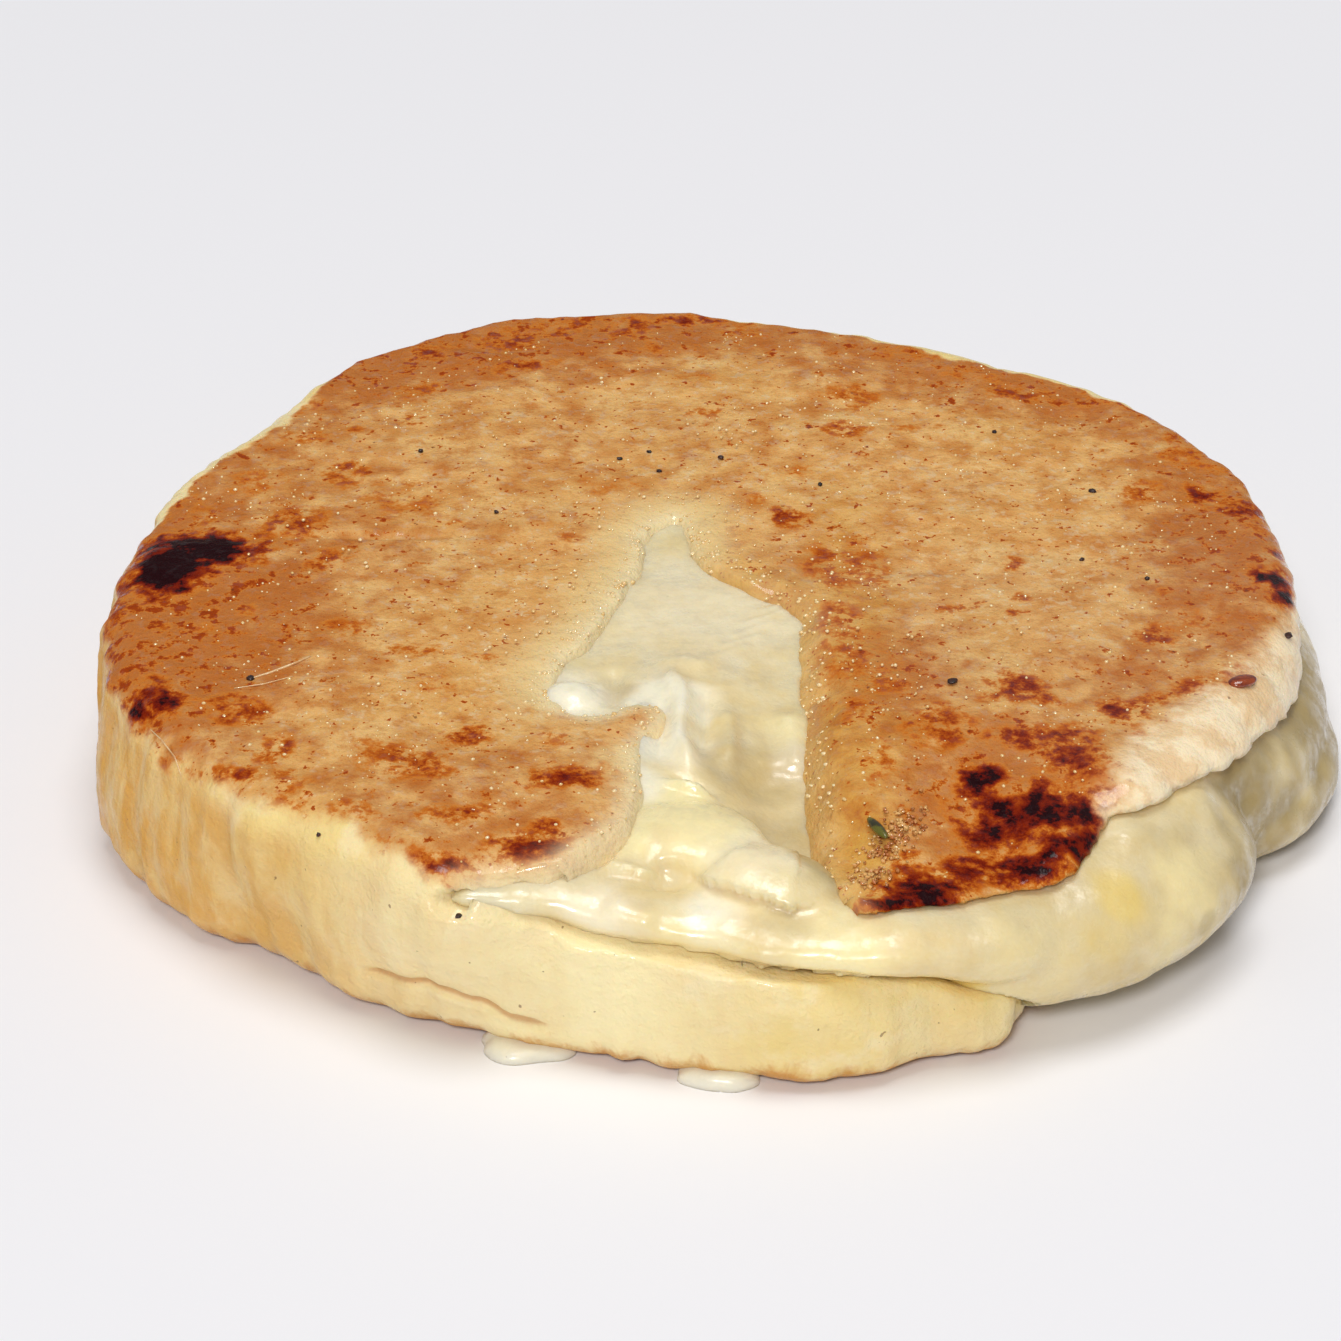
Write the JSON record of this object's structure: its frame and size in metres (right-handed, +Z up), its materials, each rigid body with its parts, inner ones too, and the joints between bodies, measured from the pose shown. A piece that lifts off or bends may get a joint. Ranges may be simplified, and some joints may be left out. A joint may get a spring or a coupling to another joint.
{
  "type": "arepa corn cake",
  "caption": "Round griddled corn cake, slit along its side and torn open on top, with melted cheese welling up in the tear and sagging from the slit on to the table.",
  "frame": {"origin": "bottom centre of the part's box, on the table under the middle of the cake", "axes": "+Z up through the cake's thickness; -Y towards the front, where the tear opens; +X towards the side where the cheese sags out"},
  "size_m": [0.1195, 0.1186, 0.0206],
  "materials": {
    "corn_cake": "soft griddled corn dough, pale gold with scorched patches, slightly oily",
    "cheese": "melted white cheese, wet and glossy, faintly yellow"
  },
  "bodies": {
    "root": {"corn_cake": "corn_cake", "cheese_filling": "cheese", "cheese_drip_left": "cheese", "cheese_drip_front": "cheese"}
  },
  "joints": []
}
